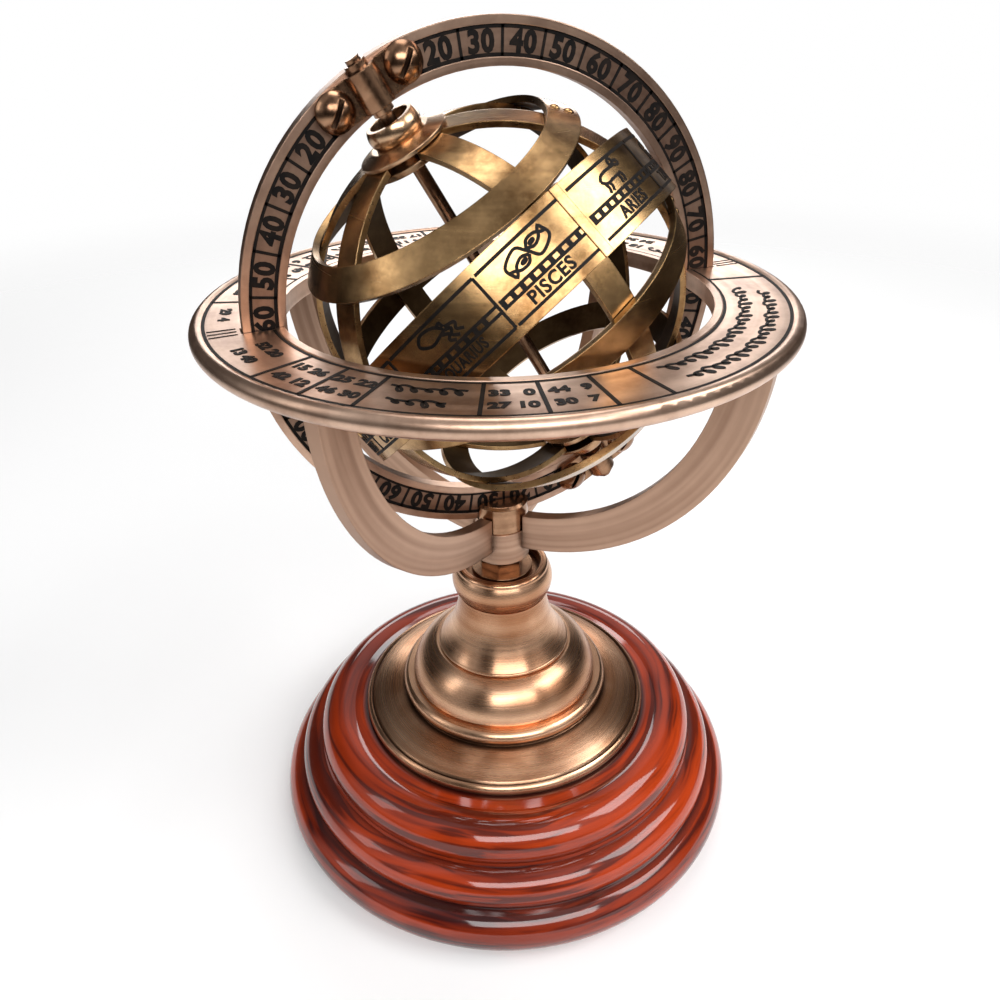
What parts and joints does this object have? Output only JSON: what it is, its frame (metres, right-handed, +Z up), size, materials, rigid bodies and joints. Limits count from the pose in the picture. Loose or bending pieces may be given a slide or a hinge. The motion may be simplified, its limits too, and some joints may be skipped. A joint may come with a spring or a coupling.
{
  "type": "armillary celestial globe",
  "caption": "Desk armillary sphere: turned wooden base, brass foot, cradle, horizon and meridian rings, and a ribbed celestial sphere with a zodiac band that spins on a tilted polar axis.",
  "frame": {"origin": "middle of the underside of the base, on the table", "axes": "+Z up; the meridian ring stands in the XZ plane with its numbered front face towards -Y; the polar axis leans from +Z towards -X"},
  "size_m": [0.0922, 0.0922, 0.1402],
  "materials": {
    "ring_brass": "brushed antique brass, copper toned, black filled engraving",
    "turned_brass": "satin turned antique brass",
    "fitting_brass": "antique brass, darkened",
    "sphere_brass": "golden antique brass",
    "rosewood": "gloss lacquered red-brown rosewood",
    "felt": "green felt",
    "steel": "zinc plated"
  },
  "bodies": {
    "stand": {"felt_pad": "felt", "wood_base": "rosewood", "tie_bolt": "steel", "tie_washer": "steel", "foot_flange": "turned_brass", "foot_dome": "turned_brass", "neck": "turned_brass", "collar": "turned_brass", "spacer_washer": "fitting_brass", "lock_nut": "fitting_brass", "cradle": "ring_brass", "fork_stud": "fitting_brass", "horizon_ring": "ring_brass"},
    "meridian": {"meridian_ring": "ring_brass", "north_strap": "fitting_brass", "south_strap": "fitting_brass", "strap_screws": "fitting_brass", "north_sleeve": "fitting_brass", "south_sleeve": "fitting_brass"},
    "sphere": {"axis_rod": "fitting_brass", "north_boss": "sphere_brass", "south_boss": "sphere_brass", "north_cap": "sphere_brass", "south_cap": "sphere_brass", "north_pole_washer": "sphere_brass", "south_pole_washer": "sphere_brass", "equator_ring": "sphere_brass", "north_band": "sphere_brass", "south_band": "sphere_brass", "zodiac_band": "sphere_brass", "band_rivets": "sphere_brass", "zodiac_rivets": "sphere_brass", "rib_1": "sphere_brass", "rib_2": "sphere_brass", "rib_3": "sphere_brass", "rib_4": "sphere_brass", "rib_5": "sphere_brass", "rib_6": "sphere_brass"}
  },
  "joints": [
    {"name": "meridian_turn", "type": "hinge", "parent": "stand", "child": "meridian", "pos_m": [0, 0, 0.10143], "axis": [0, -1, 0], "range_deg": [-6, 38]},
    {"name": "sphere_spin", "type": "hinge", "parent": "meridian", "child": "sphere", "pos_m": [0, -0.0017, 0.10143], "axis": [-0.5, 0, 0.866], "continuous": true}
  ]
}
